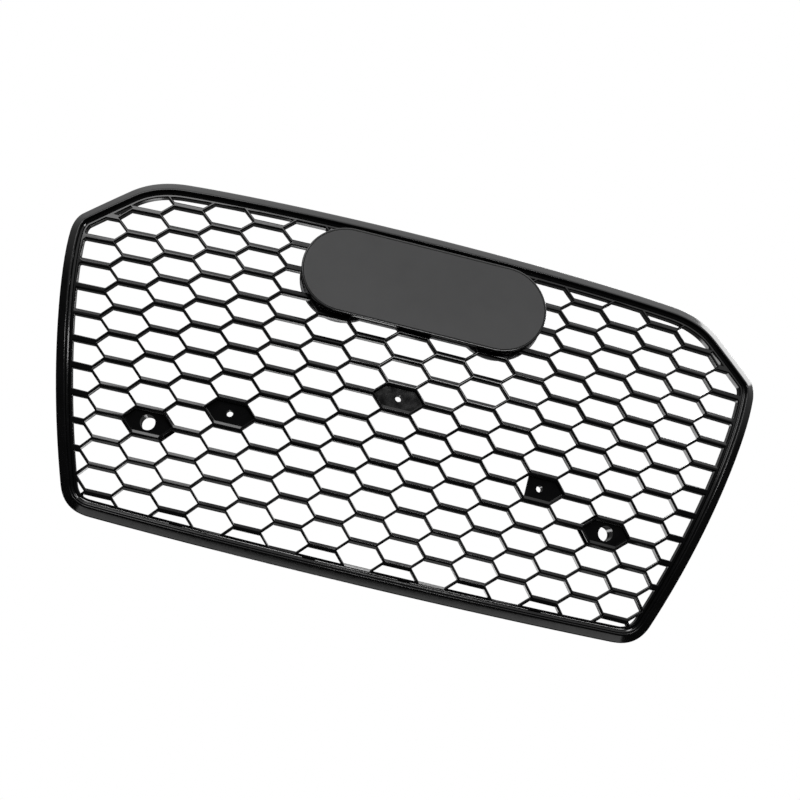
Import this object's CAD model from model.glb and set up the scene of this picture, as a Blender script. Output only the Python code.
"""The looks of the front grille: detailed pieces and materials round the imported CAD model.

Shapes are drawn in the CAD's design coordinates (X across, Z up, depth along Y behind the middle of the
honeycomb's front) and moved to the frame by DATUM at the end. Metres throughout.
"""

import math

import bmesh
import bpy
from mathutils import Matrix, Quaternion, Vector


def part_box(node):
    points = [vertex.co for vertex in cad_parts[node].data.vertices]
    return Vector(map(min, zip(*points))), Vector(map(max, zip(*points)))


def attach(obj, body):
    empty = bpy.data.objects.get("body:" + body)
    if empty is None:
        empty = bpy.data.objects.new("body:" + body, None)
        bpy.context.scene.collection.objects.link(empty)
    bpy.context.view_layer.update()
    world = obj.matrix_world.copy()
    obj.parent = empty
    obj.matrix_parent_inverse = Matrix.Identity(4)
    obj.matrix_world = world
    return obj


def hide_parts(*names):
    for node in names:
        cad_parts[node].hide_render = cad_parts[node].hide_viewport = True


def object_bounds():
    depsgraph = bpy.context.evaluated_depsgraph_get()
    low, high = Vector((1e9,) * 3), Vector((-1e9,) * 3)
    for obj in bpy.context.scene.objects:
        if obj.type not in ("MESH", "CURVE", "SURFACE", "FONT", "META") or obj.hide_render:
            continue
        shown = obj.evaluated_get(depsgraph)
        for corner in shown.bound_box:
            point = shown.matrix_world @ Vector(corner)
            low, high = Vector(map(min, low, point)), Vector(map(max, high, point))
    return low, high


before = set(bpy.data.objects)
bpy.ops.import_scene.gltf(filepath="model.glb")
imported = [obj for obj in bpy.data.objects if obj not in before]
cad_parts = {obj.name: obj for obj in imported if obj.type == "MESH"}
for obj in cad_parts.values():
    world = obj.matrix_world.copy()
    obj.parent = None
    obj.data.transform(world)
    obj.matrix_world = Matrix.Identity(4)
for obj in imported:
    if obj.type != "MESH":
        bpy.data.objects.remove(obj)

cad_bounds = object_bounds()

MM = 0.001
GAP = 0.3 * MM

# Curved front, outer edge and honeycomb, as the CAD has them
SWEEP_X = 0.288
SWEEP_Z = 0.83
OUTLINE_START = (0, -223.1)
OUTLINE_ARCS = [
    ((172.8, -223.1), (326.4, -217.7), 12),
    ((356.2, -216.6), (365.8, -189.6), 12),
    ((397.0, -96.4), (417.4, 0), 12),
    ((433.4, 75.5), (434.2, 112.8), 8),
    ((434.4, 131.6), (424.8, 139.7), 10),
    ((400.8, 160.0), (376.8, 180.2), 4),
    ((350.9, 202.1), (309.6, 204.0), 12),
    ((225.1, 207.7), (0, 207.7), 12),
]
COLUMN_PITCH = 48 * MM
ROW_PITCH = 31.6 * MM
FAN = 0.00824
FLAT_SHARE = 2 / 3
BAR_WALL = 7.4 * MM
RIB_WALL = 3.3 * MM
MESH_DEPTH = 14 * MM
LAST_COLUMN = 9
LAST_HALF_ROW = 15
CELL_EDGE = 20 * MM
MESH_EDGE = 17.1 * MM
SMALLEST_CELL = 4.5e-5
SHORTEST_SIDE = 1.0 * MM
LUG = {"inward": (4.3 * MM, 18.4 * MM), "depth": (8.2 * MM, 13.5 * MM), "width": 16 * MM}

# Cells filled by a screw boss or by a parking sensor's holder
BOSS_CELLS = [(0, 0), (-4, -2), (4, -2)]
BOSS_FRONT = 5 * MM
BOSS_BACK = 9 * MM
BOSS_TUBE = {"radius": 7 * MM, "hole": 4 * MM, "front": 7 * MM, "back": 22 * MM}
OPEN_TIP_CELL = (4, -2)
OPEN_TIP = 0.34
SENSOR_CELLS = {"left": (-6, -3), "right": (6, -3)}
SENSOR_BORE_RADIUS = 9.2 * MM
SENSOR_TUBE_RADIUS = 11.6 * MM
SENSOR_TUBE_BACK = 38 * MM
PLUG_FRONT = 4.5 * MM
FLANGE_FRONT = MESH_DEPTH + GAP
FLANGE_BACK = FLANGE_FRONT + 3.6 * MM
FLANGE_GROW = 5.5 * MM

# Emblem plate and carrier
EMBLEM_Z = 135.4 * MM
EMBLEM_SLOPE = 2 * SWEEP_Z * EMBLEM_Z
EMBLEM_HALF_WIDTH = 149.8 * MM
EMBLEM_RADIUS = 54.2 * MM
EMBLEM_PROUD = 12 * MM
BAND_INSET = 7 * MM
BAND_WIDTH = 8 * MM
POST = {"radius": 4.5 * MM, "x": 95 * MM, "dz": 20 * MM, "hole": 1.5 * MM}
CARRIER_Z = 131 * MM
CARRIER_LOBE = 55 * MM
CARRIER_WAIST = 47 * MM
CARRIER_BASE = 23 * MM

# Fixings
MESH_SCREW_SHARES = [0.05, 0.19, 0.345, 0.47, 0.595, 0.735, 0.90]
SCREW_INWARD = 9.2 * MM
SCREW_HEAD = 2.2 * MM
SCREW_SHANK_RADIUS = 1.5 * MM
HOLDER_SCREW_HEAD = 1.8 * MM
HOLDER_SCREW_SHANK_RADIUS = 1.2 * MM
SHANK_SHARE = 0.46
SEAT_REACH = 9 * MM
SCREW_BOSS = {"radius": 3.6 * MM, "depth": (0.5 * MM, 5.6 * MM)}
CLIP_TAB_SHARES = [0.12, 0.25, 0.41, 0.53]
CLIP_TAB = {"inward": (1.4 * MM, 4.0 * MM), "depth": (15 * MM, 38 * MM), "width": 24 * MM}
CLIP_WIDTH = 14 * MM
CLIP_STEEL = 0.8 * MM
TOP_TAB_X = [0, -0.15, 0.15, -0.27, 0.27]
TOP_TAB = {"drop": 1.8 * MM, "thick": 3.2 * MM, "depth": (15 * MM, 50 * MM), "half_width": 18 * MM}
TOP_HOLE = {"radius": 3.25 * MM, "depth": 41 * MM, "apart": 18 * MM}

# What the CAD leaves plain: the facets round each cell, whose profile is (share of its width, depth in mm)
BAR_TOP_FACET = 3.5 * MM
BAR_BOTTOM_FACET = 2.4 * MM
RIB_FACET = 1.3 * MM
CELL_PROFILE = [(1.0, 0), (0.9, 0.12), (0.06, 1.7), (0, 2.1), (0, 13.6), (0.15, 14)]
LEVEL = 1e-6
WHOLE_SHARE = 0.8
LONGEST_MITRE = 1.5
RIM_MARGIN = 0.4 * MM

# Surround section as arcs: (control, end, steps) in (inward, depth), millimetres
SECTION_START = (0, 18.6)
SECTION_ARCS = [
    ((0, 12), (0, 5), 1),
    ((0, 2), (1.4, 0.6), 5),
    ((5, -1.9), (8.6, -4.25), 3),
    ((9.6, -4.8), (10.6, -4.7), 5),
    ((11.6, -4.5), (12.6, -2.0), 5),
    ((13.1, -0.6), (13.8, -0.1), 3),
    ((14.6, 0.3), (15.2, 0.7), 3),
    ((16.1, 1.0), (16.2, 2.0), 4),
    ((16.5, 4.5), (16.8, 6.7), 1),
    ((16.8, 7), (16.4, 7), 2),
    ((15.6, 7), (14.7, 7), 1),
    ((14.4, 7), (14.3, 6.6), 2),
    ((14.1, 5.4), (13.8, 4.2), 1),
    ((9, 2.8), (4.0, 1.3), 2),
    ((3.4, 1.1), (3.3, 1.8), 2),
    ((3.0, 10), (2.6, 19.6), 2),
    ((2.6, 20), (2.2, 20), 2),
    ((1.2, 19.4), (0.4, 18.8), 1),
]

# Camera, seen from the frame's origin, and its turn about Z, its rise and its roll
CAMERA_PLACE = Vector((-0.0853, -1.812, -0.4655))
CAMERA_TURN = math.radians(2.857)
CAMERA_RISE = math.radians(8.387)
CAMERA_ROLL = math.radians(13.39)
CAMERA_LENS = 67.5

# The floor is small and lies behind the part, out of what the gloss reflects
FLOOR_DROP = 2.2
FLOOR_BACK = 1.1
FLOOR_WIDTH = 3.2
FLOOR_DEPTH = 1.15

PLASTIC_IOR = 1.5

# Area lights as (place from the part's middle, size, watts)
LIGHTS = {
    "front": ((0.45, -2.7, 0.85), (1.1, 0.35), 16),
    "right": ((2.0, 0.85, 1.85), (1.4, 1.0), 22),
    "low": ((-0.08, 2.4, -0.6), (0.4, 0.34), 0.6),
    "key": ((-1.6, -2.2, 2.2), (1.4, 1.4), 22),
    "behind": ((0.9, 2.2, 0.9), (1.2, 0.6), 12),
}


# ---------------------------------------------------------------- outlines


def sweep(x, z):
    return SWEEP_X * x * x + SWEEP_Z * z * z


def arcs(start, pieces):
    """Points of a chain of quadratic arcs, given as (control, end, steps)."""
    start = Vector(start)
    points = [start]
    for control, end, steps in pieces:
        control, end = Vector(control), Vector(end)
        for step in range(1, steps + 1):
            t = step / steps
            points.append((1 - t) ** 2 * start + 2 * t * (1 - t) * control + t * t * end)
        start = end
    return [point * MM for point in points]


HALF_OUTLINE = arcs(OUTLINE_START, OUTLINE_ARCS)
OUTLINE = HALF_OUTLINE + [Vector((-point.x, point.y)) for point in reversed(HALF_OUTLINE[1:-1])]
TOP = HALF_OUTLINE[-1].y - TOP_TAB["drop"]
DATUM = Vector((0, -(sweep(0, TOP) + sum(TOP_TAB["depth"]) / 2), -TOP))


def around(loop):
    """Each point of a closed loop with the one before it and the one after."""
    return zip(loop[-1:] + loop[:-1], loop, loop[1:] + loop[:1])


def cut_by_line(polygon, a, b):
    """The part of a convex polygon on the left of the line from a to b."""
    along = b - a
    kept = []
    for p, q in zip(polygon, polygon[1:] + polygon[:1]):
        side_p, side_q = along.cross(p - a), along.cross(q - a)
        if side_p >= 0:
            kept.append(p)
        if (side_p >= 0) != (side_q >= 0):
            kept.append(p + (q - p) * (side_p / (side_p - side_q)))
    return kept


def without_short_sides(polygon):
    kept = []
    for point in polygon:
        if not kept or (point - kept[-1]).length > SHORTEST_SIDE:
            kept.append(point)
    return kept if (kept[0] - kept[-1]).length > SHORTEST_SIDE else kept[:-1]


def inset_outline(distance):
    """The outer edge drawn in by this distance. It is convex, so each of its sides is moved in."""
    inset = [Vector(corner) for corner in ((-1, -1), (1, -1), (1, 1), (-1, 1))]
    for a, b in zip(OUTLINE, OUTLINE[1:] + OUTLINE[:1]):
        along = (b - a).normalized()
        shift = Vector((-along.y, along.x)) * distance
        inset = cut_by_line(inset, a + shift, b + shift)
    return without_short_sides(inset)


def outline_station(share, side):
    """Point and inward direction at this share of the half outline, on the right (1) or left (-1)."""
    lengths = [(b - a).length for a, b in zip(HALF_OUTLINE, HALF_OUTLINE[1:])]
    left = share * sum(lengths)
    index = 0
    while left > lengths[index]:
        left -= lengths[index]
        index += 1
    along = (HALF_OUTLINE[index + 1] - HALF_OUTLINE[index]) / lengths[index]
    place = HALF_OUTLINE[index] + along * left
    return Vector((side * place.x, place.y)), Vector((-side * along.y, along.x))


def outline_top(x):
    """Height of the outer edge above this point of the top."""
    top = [point for point in HALF_OUTLINE if point.y > 0]
    for a, b in zip(top, top[1:]):
        if b.x <= abs(x) <= a.x:
            return b.y + (a.y - b.y) * (abs(x) - b.x) / (a.x - b.x)
    return top[-1].y


def arc(centre, radius, first, last, steps):
    angles = [math.radians(first + (last - first) * step / steps) for step in range(steps + 1)]
    return [Vector((centre[0] + radius * math.cos(a), centre[1] + radius * math.sin(a))) for a in angles]


def emblem_outline(inset, steps=32):
    """A bar with two half circles for ends."""
    radius = EMBLEM_RADIUS - inset
    reach = EMBLEM_HALF_WIDTH - EMBLEM_RADIUS
    return arc((reach, EMBLEM_Z), radius, -90, 90, steps) + arc((-reach, EMBLEM_Z), radius, 90, 270, steps)


def carrier_outline(inset, steps=40):
    """Two round lobes joined by a band that is a little lower than they are."""
    radius = CARRIER_LOBE - inset
    lean = math.degrees(math.asin((CARRIER_WAIST - inset) / radius))
    right = arc((POST["x"], CARRIER_Z), radius, -180 + lean, 180 - lean, steps)
    return right + [Vector((-point.x, 2 * CARRIER_Z - point.y)) for point in right]


# ---------------------------------------------------------------- honeycomb cells


def lattice_point(column, row):
    return Vector((column * COLUMN_PITCH * (1 + FAN * row), row * ROW_PITCH))


def cell_polygon(column, row, inset=0.0):
    """Corners of one cell's opening, anticlockwise, drawn in by inset on every side."""
    half_flat = FLAT_SHARE / 2 * COLUMN_PITCH
    tip = half_flat + COLUMN_PITCH * (1 - FLAT_SHARE)
    half_height = ROW_PITCH / 2
    slant = math.hypot(tip - half_flat, half_height)
    height = half_height - BAR_WALL / 2 - inset
    tip_x = tip - (RIB_WALL / 2 + inset) * slant / half_height
    flat_x = tip_x - height * (tip - half_flat) / half_height
    corners = [(flat_x, height), (-flat_x, height), (-tip_x, 0)]
    corners += [(-flat_x, -height), (flat_x, -height), (tip_x, 0)]
    return [lattice_point(column + x / COLUMN_PITCH, row + z / ROW_PITCH) for x, z in corners]


def clip_to(polygon, boundary):
    """The part of a polygon inside a convex boundary that runs anticlockwise."""
    for a, b in zip(boundary, boundary[1:] + boundary[:1]):
        polygon = cut_by_line(polygon, a, b)
        if len(polygon) < 3:
            return []
    return polygon


def beside_emblem(cell, middle):
    """The part of a cell outside the band that frames the window behind the emblem plate."""
    reach = EMBLEM_HALF_WIDTH - EMBLEM_RADIUS
    nearest = Vector((max(-reach, min(reach, middle.x)), EMBLEM_Z))
    away = (middle - nearest).normalized()
    edge = nearest + away * (EMBLEM_RADIUS - BAND_INSET)
    return cut_by_line(cell, edge, edge + Vector((away.y, -away.x)))


def area_of(polygon):
    return abs(sum(a.cross(b) for a, b in zip(polygon, polygon[1:] + polygon[:1]))) / 2


def open_cells():
    edge = inset_outline(CELL_EDGE)
    cells = []
    for column in range(-LAST_COLUMN, LAST_COLUMN + 1):
        for half_row in range(-LAST_HALF_ROW, LAST_HALF_ROW + 1):
            if (column + half_row) % 2 == 0:
                row = half_row / 2
                cell = clip_to(cell_polygon(column, row), edge)
                cell = beside_emblem(cell, lattice_point(column, row))
                if area_of(cell) > SMALLEST_CELL:
                    cells.append(without_short_sides(cell))
    return cells


def facet_width(along, whole):
    """The facet beside this side of a cell: level sides lie on a bar, above it or below, others on ribs."""
    if abs(along.y) > LEVEL or not whole:
        return RIB_FACET
    return BAR_TOP_FACET if along.x > 0 else BAR_BOTTOM_FACET


def grown(loop, share):
    """A cell's outline moved outwards by this share of the facet beside each of its sides."""
    whole = area_of(loop) > WHOLE_SHARE * area_of(cell_polygon(0, 0))
    moved = []
    for before, point, after in around(loop):
        first, second = point - before, after - point
        out_first, out_second = facet_width(first, whole) * share, facet_width(second, whole) * share
        first, second = first.normalized(), second.normalized()
        turn = first.cross(second)
        if turn < 0.3:
            outward = Vector((first.y + second.y, -first.x - second.x)).normalized()
            move = outward * (out_first + out_second) / 2
        else:
            move = (first * out_second - second * out_first) / turn
        longest = LONGEST_MITRE * max(out_first, out_second)
        if move.length > longest:
            move *= longest / move.length
        moved.append(inside_rim(point, move))
    return moved


def inside_rim(point, move):
    """The point moved as far as it stays within the honeycomb's edge."""
    while any((b - a).cross(point + move - a) < 0 for a, b in zip(RIM, RIM[1:] + RIM[:1])):
        move = move * 0.8
    return point + move


RIM = inset_outline(MESH_EDGE + RIM_MARGIN)


# ---------------------------------------------------------------- mesh tools


def skin(bm, rings, closed=False):
    """Quads between each ring of vertices and the next."""
    pairs = list(zip(rings, rings[1:]))
    if closed:
        pairs.append((rings[-1], rings[0]))
    for ring, after in pairs:
        for a, b, c, d in zip(ring, ring[1:] + ring[:1], after[1:] + after[:1], after):
            bm.faces.new((a, b, c, d))


def ring_of(bm, loop, depth):
    return [bm.verts.new((point.x, depth, point.y)) for point in loop]


def loft(bm, levels):
    """A closed solid through loops of equal length, each given with its depth, capped at both ends."""
    rings = [ring_of(bm, loop, depth) for loop, depth in levels]
    skin(bm, rings)
    bm.faces.new(rings[0])
    bm.faces.new(rings[-1])


def circle(middle, radius, sides):
    return [middle + Vector((math.cos(a), math.sin(a))) * radius
            for a in (2 * math.pi * side / sides for side in range(sides))]


def add_rod(bm, middle, radius, front, back, sides=32, edge=0.0):
    """A cylinder along Y whose two ends have a small chamfer."""
    levels = [(circle(middle, radius - edge, sides), front), (circle(middle, radius, sides), front + edge),
              (circle(middle, radius, sides), back - edge), (circle(middle, radius - edge, sides), back)]
    loft(bm, levels if edge else [levels[1], levels[2]])


def add_box(bm, matrix, low, high):
    middle = [(a + b) / 2 for a, b in zip(low, high)]
    size = [b - a for a, b in zip(low, high)]
    shaped = matrix @ Matrix.Translation(middle) @ Matrix.Diagonal((*size, 1))
    return bmesh.ops.create_cube(bm, size=1, matrix=shaped)["verts"]


def add_soft_box(bm, matrix, low, high, edge):
    """A box with rounded edges."""
    made = add_box(bm, matrix, low, high)
    edges = {found for vert in made for found in vert.link_edges}
    bmesh.ops.bevel(bm, geom=list(edges), offset=edge, segments=2, profile=0.5, affect="EDGES")


def bend(bm):
    """Lays a flat shape on the grille's curved front."""
    for vertex in bm.verts:
        vertex.co.y += sweep(vertex.co.x, vertex.co.z)


def new_object(name, bm):
    bmesh.ops.recalc_face_normals(bm, faces=bm.faces)
    mesh = bpy.data.meshes.new(name)
    bm.to_mesh(mesh)
    bm.free()
    obj = bpy.data.objects.new(name, mesh)
    bpy.context.scene.collection.objects.link(obj)
    return obj


def combine(obj, steps):
    """Joins on or cuts away each (operation, bmesh) in turn."""
    for operation, bm in steps:
        other = new_object("tool", bm)
        modifier = obj.modifiers.new(operation, "BOOLEAN")
        modifier.operation = operation
        modifier.solver = "MANIFOLD"
        modifier.object = other
        bpy.context.view_layer.update()
        graph = bpy.context.evaluated_depsgraph_get()
        mesh = bpy.data.meshes.new_from_object(obj.evaluated_get(graph))
        obj.modifiers.clear()
        old, obj.data = obj.data, mesh
        bpy.data.meshes.remove(old)
        bpy.data.objects.remove(other, do_unlink=True)


def finish_piece(obj, name, material, nodes, angle=30):
    """Moves a piece from design coordinates to the frame, shades it and puts it in place of its nodes."""
    obj.name = name
    obj.data.transform(Matrix.Translation(DATUM))
    obj.data.materials.clear()
    obj.data.materials.append(material)
    obj.data.shade_smooth()
    obj.data.set_sharp_from_angle(angle=math.radians(angle))
    weighted = obj.modifiers.new("Weighted normals", "WEIGHTED_NORMAL")
    weighted.keep_sharp = True
    weighted.weight = 80
    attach(obj, "root")
    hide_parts(*nodes)


def edge_matrix(place, inward):
    """Local X runs inward from the outer edge, local Z rearwards, and local Y along the edge."""
    rearward = Vector((0, 1, 0))
    inward = Vector((inward.x, 0, inward.y))
    turned = Matrix((inward, rearward.cross(inward), rearward)).transposed().to_4x4()
    return Matrix.Translation((place.x, sweep(place.x, place.y), place.y)) @ turned


def sides_and_shares(shares):
    return [(side, share) for side in (1, -1) for share in shares]


def screw_holes(prefix):
    """Round cutters for the shanks of the screws whose nodes start with prefix, from the CAD's boxes."""
    bm = bmesh.new()
    for node in screw_nodes(prefix):
        low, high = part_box(node)
        middle = (low + high) / 2 - DATUM
        radius = SHANK_SHARE * (high.x - low.x) / 2 + GAP
        front = low.y - DATUM.y - GAP
        add_rod(bm, Vector((middle.x, middle.z)), radius, front, high.y - DATUM.y + MM, 16)
    return bm


def screw_seats(prefix, head_height):
    """Wider cutters behind the seats of those screws' heads."""
    bm = bmesh.new()
    for node in screw_nodes(prefix):
        low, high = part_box(node)
        middle = (low + high) / 2 - DATUM
        radius = (high.x - low.x) / 2 / math.cos(math.pi / 8) + GAP
        seat = high.y - DATUM.y - head_height
        add_rod(bm, Vector((middle.x, middle.z)), radius, seat - GAP, seat + SEAT_REACH, 24)
    return bm


def screw_nodes(prefix):
    return sorted(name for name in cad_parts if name.startswith(prefix))


# ---------------------------------------------------------------- materials


def node(tree, kind, **values):
    made = tree.nodes.new(kind)
    for name, value in values.items():
        if name in made.inputs:
            made.inputs[name].default_value = value
        else:
            setattr(made, name, value)
    return made


def noise(tree, place, scale, detail=3.0):
    found = node(tree, "ShaderNodeTexNoise", Scale=scale, Detail=detail)
    tree.links.new(place.outputs["Object"], found.inputs["Vector"])
    return found.outputs["Fac"]


def ramp(tree, value, low, high, first, last):
    """Maps low..high of a value to first..last, which may be numbers or colours."""
    if isinstance(first, tuple):
        found = tree.nodes.new("ShaderNodeValToRGB")
        found.color_ramp.elements[0].position = low
        found.color_ramp.elements[0].color = (*first, 1)
        found.color_ramp.elements[1].position = high
        found.color_ramp.elements[1].color = (*last, 1)
        tree.links.new(value, found.inputs["Fac"])
        return found.outputs["Color"]
    found = tree.nodes.new("ShaderNodeMapRange")
    for name, number in zip(("From Min", "From Max", "To Min", "To Max"), (low, high, first, last)):
        found.inputs[name].default_value = number
    tree.links.new(value, found.inputs["Value"])
    return found.outputs["Result"]


def surface(name, colours, roughness, grain, patches=35.0, metallic=0.0):
    """A Principled material whose colour and roughness drift in patches and whose relief is a fine grain.

    colours and roughness are (darkest, lightest) and (smoothest, roughest), and grain is
    (scale, strength, height).
    """
    found = bpy.data.materials.new(name)
    found.use_nodes = True
    tree = found.node_tree
    shader = tree.nodes["Principled BSDF"]
    place = tree.nodes.new("ShaderNodeTexCoord")
    drift = noise(tree, place, patches, 5.0)
    fine = noise(tree, place, grain[0], 2.0)
    tree.links.new(ramp(tree, drift, 0.3, 0.7, *colours), shader.inputs["Base Color"])
    tree.links.new(ramp(tree, noise(tree, place, patches * 4, 4.0), 0.3, 0.7, *roughness),
                   shader.inputs["Roughness"])
    relief = node(tree, "ShaderNodeBump", Strength=grain[1], Distance=grain[2])
    tree.links.new(fine, relief.inputs["Height"])
    tree.links.new(relief.outputs["Normal"], shader.inputs["Normal"])
    shader.inputs["Metallic"].default_value = metallic
    shader.inputs["IOR"].default_value = PLASTIC_IOR
    return found


def make_materials():
    return {
        "gloss_black": surface("gloss_black", ((0.004, 0.004, 0.0043), (0.007, 0.007, 0.0075)),
                               (0.10, 0.17), (650.0, 0.04, 0.0002)),
        "satin_grey": surface("satin_grey", ((0.038, 0.038, 0.039), (0.046, 0.046, 0.047)),
                              (0.36, 0.44), (2600.0, 0.12, 0.0001), patches=12.0),
        "light_grey": surface("light_grey", ((0.36, 0.36, 0.37), (0.42, 0.42, 0.43)),
                              (0.34, 0.46), (1800.0, 0.15, 0.0001)),
        "zinc_steel": surface("zinc_steel", ((0.42, 0.42, 0.43), (0.56, 0.56, 0.55)),
                              (0.24, 0.38), (1500.0, 0.08, 0.0001), patches=160.0, metallic=1.0),
    }


# ---------------------------------------------------------------- pieces


def make_surround(material):
    section = arcs(SECTION_START, SECTION_ARCS)
    bm = bmesh.new()
    rings = []
    for before, point, after in around(OUTLINE):
        along = (after - before).normalized()
        inward = Vector((-along.y, along.x))
        places = [(point + inward * step.x, step.y) for step in section]
        rings.append([bm.verts.new((p.x, sweep(p.x, p.y) + depth, p.y)) for p, depth in places])
    skin(bm, rings, closed=True)
    surround = new_object("surround", bm)

    bosses, tabs, holes = bmesh.new(), bmesh.new(), bmesh.new()
    for side, share in sides_and_shares(MESH_SCREW_SHARES):
        place, inward = outline_station(share, side)
        place = place + inward * SCREW_INWARD
        depth = sweep(place.x, place.y)
        front, back = [depth + step for step in SCREW_BOSS["depth"]]
        add_rod(bosses, place, SCREW_BOSS["radius"], front, back, 24, 0.3 * MM)
    width = CLIP_TAB["width"] / 2
    for side, share in sides_and_shares(CLIP_TAB_SHARES):
        (near, far), (front, back) = CLIP_TAB["inward"], CLIP_TAB["depth"]
        add_soft_box(tabs, edge_matrix(*outline_station(share, side)), (near, -width, front),
                     (far, width, back), 0.5 * MM)
    for x in TOP_TAB_X:
        top = outline_top(x) - TOP_TAB["drop"]
        back = sweep(x, top)
        low = (x - TOP_TAB["half_width"], back + TOP_TAB["depth"][0], top - TOP_TAB["thick"])
        high = (x + TOP_TAB["half_width"], back + TOP_TAB["depth"][1], top)
        add_soft_box(tabs, Matrix.Identity(4), low, high, 0.5 * MM)
        for hole_x in ([-TOP_HOLE["apart"] / 2, TOP_HOLE["apart"] / 2] if x == 0 else [x]):
            upright = Matrix.Translation((hole_x, back + TOP_HOLE["depth"], top))
            bmesh.ops.create_cone(holes, cap_ends=True, segments=32, radius1=TOP_HOLE["radius"],
                                  radius2=TOP_HOLE["radius"], depth=15 * MM, matrix=upright)
    combine(surround, [("UNION", bosses), ("UNION", tabs), ("DIFFERENCE", holes),
                       ("DIFFERENCE", screw_holes("mesh_screw"))])
    finish_piece(surround, "surround", material, ["surround_frame"])


def flat_edges(bm):
    return [edge for edge in bm.edges if edge.is_manifold and not edge.is_boundary
            and all(abs(face.normal.y) > 0.9999 for face in edge.link_faces)]


def opposite_angles(edge):
    """The two angles that face an edge between two triangles, added together."""
    total = 0
    for face in edge.link_faces:
        apex = next(vertex for vertex in face.verts if vertex not in edge.verts)
        total += (edge.verts[0].co - apex.co).angle(edge.verts[1].co - apex.co, 0)
    return total


def even_triangles(bm):
    """Turns the edges inside flat faces until none is long, because the faces are bent next."""
    turned = True
    while turned:
        turned = False
        for edge in flat_edges(bm):
            if opposite_angles(edge) > math.pi + 1e-3:
                turned = bmesh.utils.edge_rotate(edge) is not None or turned


def honeycomb_sheet():
    """The moulding before it is bent: facets and walls round each cell, then the flat front and back."""
    bm = bmesh.new()
    fronts, backs = [], []
    for loop in open_cells():
        rings = [ring_of(bm, grown(loop, share), depth * MM) for share, depth in CELL_PROFILE]
        skin(bm, rings)
        fronts.append(rings[0])
        backs.append(rings[-1])
    for loop in (inset_outline(MESH_EDGE), emblem_outline(BAND_INSET + BAND_WIDTH)):
        rings = [ring_of(bm, loop, 0), ring_of(bm, loop, MESH_DEPTH)]
        skin(bm, rings)
        fronts.append(rings[0])
        backs.append(rings[-1])
    # The fill is done in millimetres
    bmesh.ops.scale(bm, vec=Vector((1, 1, 1)) / MM, verts=bm.verts)
    for rings in (fronts, backs):
        edges = [bm.edges.get(pair) for ring in rings for pair in zip(ring, ring[1:] + ring[:1])]
        bmesh.ops.triangle_fill(bm, use_beauty=True, edges=edges, normal=(0, 1, 0))
    bmesh.ops.scale(bm, vec=Vector((MM, MM, MM)), verts=bm.verts)
    bmesh.ops.recalc_face_normals(bm, faces=bm.faces)
    even_triangles(bm)
    bend(bm)
    return bm


def boss_plate(cell):
    """The web that fills one cell, with soft edges; one cell's web leaves a tip open."""
    levels = []
    for inset, depth in ((0.4, BOSS_FRONT), (-0.6, BOSS_FRONT + 0.6 * MM), (-0.6, BOSS_BACK)):
        loop = cell_polygon(*cell, inset=inset * MM)
        if cell == OPEN_TIP_CELL:
            limit = lattice_point(cell[0] - OPEN_TIP, cell[1]).x
            loop = [Vector((max(point.x, limit), point.y)) for point in loop]
            loop[2] = Vector((limit, (loop[1].y + loop[3].y) / 2))
        levels.append((loop, depth))
    bm = bmesh.new()
    loft(bm, levels)
    bend(bm)
    return bm


def make_honeycomb(material):
    honeycomb = new_object("honeycomb", honeycomb_sheet())
    lugs, tubes, bores = bmesh.new(), bmesh.new(), bmesh.new()
    for side, share in sides_and_shares(MESH_SCREW_SHARES):
        (near, far), (front, back) = LUG["inward"], LUG["depth"]
        place, inward = outline_station(share, side)
        flat = Matrix.Translation((0, -sweep(place.x, place.y), 0)) @ edge_matrix(place, inward)
        add_soft_box(lugs, flat, (near, -LUG["width"] / 2, front), (far, LUG["width"] / 2, back), 0.4 * MM)
    bend(lugs)
    steps = [("UNION", lugs)]
    for cell in BOSS_CELLS:
        middle = lattice_point(*cell)
        depth = sweep(middle.x, middle.y)
        steps.append(("UNION", boss_plate(cell)))
        add_rod(tubes, middle, BOSS_TUBE["radius"], depth + BOSS_TUBE["front"], depth + BOSS_TUBE["back"],
                40, 0.4 * MM)
        add_rod(bores, middle, BOSS_TUBE["hole"], depth, depth + BOSS_TUBE["back"] + MM, 32)
    steps += [("UNION", tubes), ("DIFFERENCE", bores)]
    steps += [("DIFFERENCE", screw_holes(prefix)) for prefix in ("mesh_screw", "holder_screw")]
    steps.append(("DIFFERENCE", screw_seats("mesh_screw", SCREW_HEAD)))
    combine(honeycomb, steps)
    finish_piece(honeycomb, "honeycomb", material, ["honeycomb_mesh"])


def lean_back(obj):
    """Moves a flat piece of the emblem to the plate's plane, which follows the grille's slope there."""
    front = sweep(0, EMBLEM_Z) - EMBLEM_PROUD
    for vertex in obj.data.vertices:
        vertex.co.y += front + EMBLEM_SLOPE * (vertex.co.z - EMBLEM_Z)


def emblem_levels(levels):
    """Loops of the plate's outline from (inset, depth) pairs in millimetres."""
    return [(emblem_outline(inset * MM), depth * MM) for inset, depth in levels]


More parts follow.
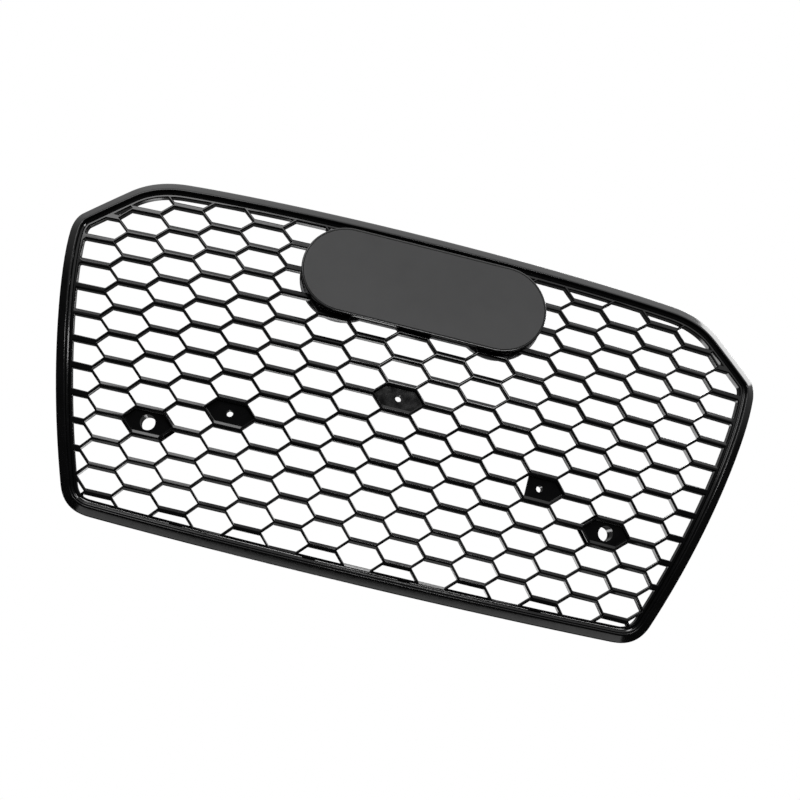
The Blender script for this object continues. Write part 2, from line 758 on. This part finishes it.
def make_emblem(rim_material, face_material):
    bm = bmesh.new()
    loft(bm, emblem_levels([
        (2.9, 1.4), (2.6, 1.3), (2.6, 0.5), (2.4, 0.3), (1.6, 0.2), (0.8, 0.4), (0.25, 0.9), (0, 1.7),
        (0, 8.0), (0.15, 8.4), (0.5, 8.5), (1.7, 8.5), (2.1, 8.35), (2.2, 8.0), (2.2, 3.0), (2.6, 2.6)]))
    rim = new_object("emblem_rim", bm)
    lean_back(rim)
    posts = bmesh.new()
    for x in (-POST["x"], POST["x"]):
        for dz in (-POST["dz"], POST["dz"]):
            place = Vector((x, EMBLEM_Z + dz))
            face = sweep(0, EMBLEM_Z) - EMBLEM_PROUD + EMBLEM_SLOPE * dz
            end = sweep(place.x, place.y) + CARRIER_BASE - 1.8 * MM
            add_rod(posts, place, POST["radius"], face + 2 * MM, end, 24, 0.4 * MM)
            for turned in (0, math.pi / 2):
                fin = Matrix.Translation((place.x, face, place.y)) @ Matrix.Rotation(turned, 4, "Y")
                add_box(posts, fin, (-8 * MM, 2.2 * MM, -0.7 * MM), (8 * MM, 12 * MM, 0.7 * MM))
    bmesh.ops.recalc_face_normals(posts, faces=posts.faces)
    combine(rim, [("UNION", posts), ("DIFFERENCE", screw_holes("emblem_screw"))])
    finish_piece(rim, "emblem_rim", rim_material, ["emblem_plate"])

    bm = bmesh.new()
    loft(bm, emblem_levels([(3.3, 0), (3.0, 0.05), (2.8, 0.25), (2.75, 0.5), (2.75, 1.2)]))
    face = new_object("emblem_face", bm)
    lean_back(face)
    finish_piece(face, "emblem_face", face_material, ["emblem_plate"])


def make_carrier(material):
    levels = [(2.6, 27), (1.2, 26.8), (0.35, 26.2), (0, 25.2), (0, 14.8), (0.3, 14.3),
              (2.2, 14.3), (2.5, 14.7), (2.5, 21.8), (2.9, 22.7), (3.8, 23)]
    bm = bmesh.new()
    loft(bm, [(carrier_outline(inset * MM), depth * MM) for inset, depth in levels])
    bmesh.ops.triangulate(bm, faces=[face for face in bm.faces if len(face.verts) > 4])
    bm.normal_update()
    even_triangles(bm)
    bend(bm)
    carrier = new_object("carrier", bm)
    combine(carrier, [("DIFFERENCE", screw_holes("emblem_screw")),
                      ("DIFFERENCE", screw_seats("emblem_screw", SCREW_HEAD))])
    finish_piece(carrier, "emblem_carrier_shell", material, ["emblem_carrier"])


def make_sensor_holder(side, material):
    cell = SENSOR_CELLS[side]
    middle = lattice_point(*cell)
    back = sweep(middle.x, middle.y)
    grow = -FLANGE_GROW / MM
    levels = [(1.0, PLUG_FRONT), (0.5, PLUG_FRONT + 0.15 * MM), (0.3, PLUG_FRONT + 0.7 * MM),
              (0.3, FLANGE_FRONT), (grow, FLANGE_FRONT), (grow, FLANGE_BACK - 0.6 * MM),
              (grow + 0.6, FLANGE_BACK)]
    bm = bmesh.new()
    loft(bm, [(cell_polygon(*cell, inset=inset * MM), depth) for inset, depth in levels])
    bend(bm)
    holder = new_object("holder", bm)
    tube, bore = bmesh.new(), bmesh.new()
    tube_back = back + SENSOR_TUBE_BACK
    add_rod(tube, middle, SENSOR_TUBE_RADIUS, back + FLANGE_FRONT, tube_back, 64, 0.4 * MM)
    add_rod(bore, middle, SENSOR_BORE_RADIUS, back, tube_back + MM, 64)
    steps = [("UNION", tube), ("DIFFERENCE", bore)]
    reach = 2 * SENSOR_TUBE_RADIUS
    for turned in (0.0, math.pi / 2):
        slot = bmesh.new()
        place = Matrix.Translation((middle.x, tube_back, middle.y)) @ Matrix.Rotation(turned, 4, "Y")
        add_box(slot, place, (-reach, -12 * MM, -3.2 * MM), (reach, -6.5 * MM, 3.2 * MM))
        steps.append(("DIFFERENCE", slot))
    steps.append(("DIFFERENCE", screw_holes("holder_screw_" + side)))
    steps.append(("DIFFERENCE", screw_seats("holder_screw_" + side, HOLDER_SCREW_HEAD)))
    combine(holder, steps)
    finish_piece(holder, f"sensor_holder_{side}_shell", material, ["sensor_holder_" + side])


def screw_mesh(name, head_radius, head_height, shank_radius, length):
    """A pan head screw along Y with a helical thread and a cross, its seat at zero, its shank forwards."""
    sides, pitch = 16, 1.1 * MM
    bm = bmesh.new()
    levels = [(head_radius * share, head_height * height) for share, height in (
        (0.35, 1.0), (0.62, 0.97), (0.84, 0.84), (0.96, 0.6), (1.0, 0.3), (1.0, 0.06), (0.97, 0.0))]
    levels.append((shank_radius, 0))
    rings = [[bm.verts.new((p.x, depth, p.y)) for p in circle(Vector((0, 0)), radius, sides)]
             for radius, depth in levels]
    for step in range(1, math.ceil(length / pitch * 4)):
        depth = step * pitch / 4
        taper = min(1, (length - depth) / (1.2 * MM))
        ring = []
        for side in range(sides):
            turn = (depth / pitch + side / sides) % 1
            crest = 1 - 0.2 * abs(2 * turn - 1)
            point = circle(Vector((0, 0)), shank_radius * crest * max(0.25, taper), sides)[side]
            ring.append(bm.verts.new((point.x, -depth, point.y)))
        rings.append(ring)
    skin(bm, rings)
    bm.faces.new(rings[0])
    bm.faces.new(rings[-1])
    obj = new_object(name, bm)
    steps = []
    for turned in (0.0, math.pi / 2):
        cutter = bmesh.new()
        add_box(cutter, Matrix.Rotation(turned, 4, "Y"),
                (-0.6 * head_radius, 0.35 * head_height, -0.13 * head_radius),
                (0.6 * head_radius, 2 * head_height, 0.13 * head_radius))
        steps.append(("DIFFERENCE", cutter))
    combine(obj, steps)
    mesh = obj.data
    bpy.data.objects.remove(obj, do_unlink=True)
    return mesh


def make_screws(prefix, head_height, shank_radius, material):
    mesh = None
    for name in screw_nodes(prefix):
        low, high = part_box(name)
        if mesh is None:
            head_radius = (high.x - low.x) / 2
            length = high.y - low.y - head_height
            mesh = screw_mesh(prefix + "_detail", head_radius, head_height, shank_radius, length)
            mesh.materials.append(material)
            mesh.shade_smooth()
            mesh.set_sharp_from_angle(angle=math.radians(35))
        middle = (low + high) / 2
        obj = bpy.data.objects.new(name + "_detail", mesh)
        bpy.context.scene.collection.objects.link(obj)
        obj.location = (middle.x, high.y - head_height, middle.z)
        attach(obj, "root")
        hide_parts(name)


def clip_section():
    """Outline of the folded strip, in (inward, rearward), as a thin ribbon with rounded folds."""
    near, far = CLIP_TAB["inward"][0] - GAP - CLIP_STEEL / 2, CLIP_TAB["inward"][1] + GAP + CLIP_STEEL / 2
    end = CLIP_TAB["depth"][1] + GAP + CLIP_STEEL / 2
    front = CLIP_TAB["depth"][0] + 7 * MM
    fold = 1.0 * MM
    middle_line = [Vector((near, front + 3 * MM)), Vector((near, end - fold))]
    middle_line += arc((near + fold, end - fold), fold, 180, 90, 4)[1:]
    middle_line += arc((far - fold, end - fold), fold, 90, 0, 4)
    middle_line += [Vector((far, front + 13 * MM)), Vector((far + 0.6 * MM, front + 12 * MM)),
                    Vector((far + 1.9 * MM, front + 9.6 * MM)), Vector((far + 2.1 * MM, front + 8.8 * MM)),
                    Vector((far + 1.7 * MM, front + 8 * MM)), Vector((far + 0.3 * MM, front + 5.2 * MM)),
                    Vector((far, front + 4.4 * MM)), Vector((far, front))]
    sides = ([], [])
    for index, point in enumerate(middle_line):
        before, after = middle_line[max(0, index - 1)], middle_line[min(len(middle_line) - 1, index + 1)]
        along = (after - before).normalized()
        across = Vector((-along.y, along.x)) * (CLIP_STEEL / 2 - 0.02 * MM)
        sides[0].append(point + across)
        sides[1].append(point - across)
    return sides[0] + sides[1][::-1]


def make_clips(material):
    section = clip_section()
    half = CLIP_WIDTH / 2
    for index, (side, share) in enumerate(sides_and_shares(CLIP_TAB_SHARES), 1):
        bm = bmesh.new()
        rings = [[bm.verts.new((p.x, along, p.y)) for p in section] for along in (-half, half)]
        skin(bm, rings)
        caps = [bm.faces.new(ring) for ring in rings]
        rims = [edge for cap in caps for edge in cap.edges]
        bmesh.ops.bevel(bm, geom=rims, offset=0.15 * MM, segments=2, profile=0.5, affect="EDGES")
        bm.transform(edge_matrix(*outline_station(share, side)))
        clip = new_object("clip", bm)
        finish_piece(clip, f"spring_clip_{index}_strip", material, [f"spring_clip_{index}"])


# ---------------------------------------------------------------- studio


def make_world():
    """White for the camera. What the gloss reflects is bright above and dark in front and below."""
    world = bpy.data.worlds.new("studio")
    bpy.context.scene.world = world
    world.use_nodes = True
    tree = world.node_tree
    tree.nodes.clear()
    place = tree.nodes.new("ShaderNodeTexCoord")
    parts = tree.nodes.new("ShaderNodeSeparateXYZ")
    tree.links.new(place.outputs["Generated"], parts.inputs[0])
    above = ramp(tree, parts.outputs["Z"], 0.15, 0.85, 0.0, 1.1)
    behind = ramp(tree, parts.outputs["Y"], 0.2, 1.0, 0.02, 0.06)
    shade = node(tree, "ShaderNodeMath", operation="ADD")
    tree.links.new(above, shade.inputs[0])
    tree.links.new(behind, shade.inputs[1])
    lit = node(tree, "ShaderNodeBackground", Strength=1.0)
    tree.links.new(shade.outputs[0], lit.inputs["Color"])
    seen = node(tree, "ShaderNodeBackground", Color=(1, 1, 1, 1), Strength=1.0)
    path = tree.nodes.new("ShaderNodeLightPath")
    mix = tree.nodes.new("ShaderNodeMixShader")
    out = tree.nodes.new("ShaderNodeOutputWorld")
    tree.links.new(path.outputs["Is Camera Ray"], mix.inputs["Fac"])
    tree.links.new(lit.outputs[0], mix.inputs[1])
    tree.links.new(seen.outputs[0], mix.inputs[2])
    tree.links.new(mix.outputs[0], out.inputs["Surface"])


def make_floor(low, high):
    bm = bmesh.new()
    bmesh.ops.create_grid(bm, x_segments=1, y_segments=1, size=0.5)
    bmesh.ops.scale(bm, vec=(FLOOR_WIDTH, FLOOR_DEPTH, 1), verts=bm.verts)
    floor = new_object("floor", bm)
    floor.location = (0, high.y + FLOOR_BACK - FLOOR_DEPTH / 2, low.z - FLOOR_DROP)
    floor.data.materials.append(surface("pale_floor", ((0.86, 0.86, 0.86), (0.9, 0.9, 0.9)), (0.7, 0.8),
                                        (40.0, 0.02, 0.001), patches=1.5))


def area_light(name, place, target, size, power):
    data = bpy.data.lights.new(name, "AREA")
    data.shape = "RECTANGLE"
    data.size, data.size_y = size
    data.energy = power
    light = bpy.data.objects.new(name, data)
    bpy.context.scene.collection.objects.link(light)
    light.location = place
    light.rotation_euler = (Vector(target) - Vector(place)).to_track_quat("-Z", "Y").to_euler()


def make_lights(centre):
    for name, (place, size, power) in LIGHTS.items():
        area_light(name, centre + Vector(place), centre, size, power)


def make_camera():
    data = bpy.data.cameras.new("camera")
    data.lens = CAMERA_LENS
    data.sensor_width = 36
    data.clip_start, data.clip_end = 0.05, 100
    camera = bpy.data.objects.new("camera", data)
    bpy.context.scene.collection.objects.link(camera)
    camera.location = CAMERA_PLACE
    level = math.cos(CAMERA_RISE)
    forward = Vector((level * math.sin(CAMERA_TURN), level * math.cos(CAMERA_TURN), math.sin(CAMERA_RISE)))
    camera.rotation_mode = "QUATERNION"
    camera.rotation_quaternion = Quaternion(forward, -CAMERA_ROLL) @ forward.to_track_quat("-Z", "Y")
    bpy.context.scene.camera = camera


def main():
    materials = make_materials()
    make_surround(materials["gloss_black"])
    make_honeycomb(materials["gloss_black"])
    make_emblem(materials["gloss_black"], materials["satin_grey"])
    make_carrier(materials["light_grey"])
    for side in SENSOR_CELLS:
        make_sensor_holder(side, materials["gloss_black"])
    make_screws("mesh_screw", SCREW_HEAD, SCREW_SHANK_RADIUS, materials["zinc_steel"])
    make_screws("emblem_screw", SCREW_HEAD, SCREW_SHANK_RADIUS, materials["zinc_steel"])
    make_screws("holder_screw", HOLDER_SCREW_HEAD, HOLDER_SCREW_SHANK_RADIUS, materials["zinc_steel"])
    make_clips(materials["zinc_steel"])
    low, high = cad_bounds
    make_world()
    make_floor(low, high)
    make_lights((low + high) / 2)
    make_camera()
    bpy.context.scene.view_settings.view_transform = "Standard"


main()
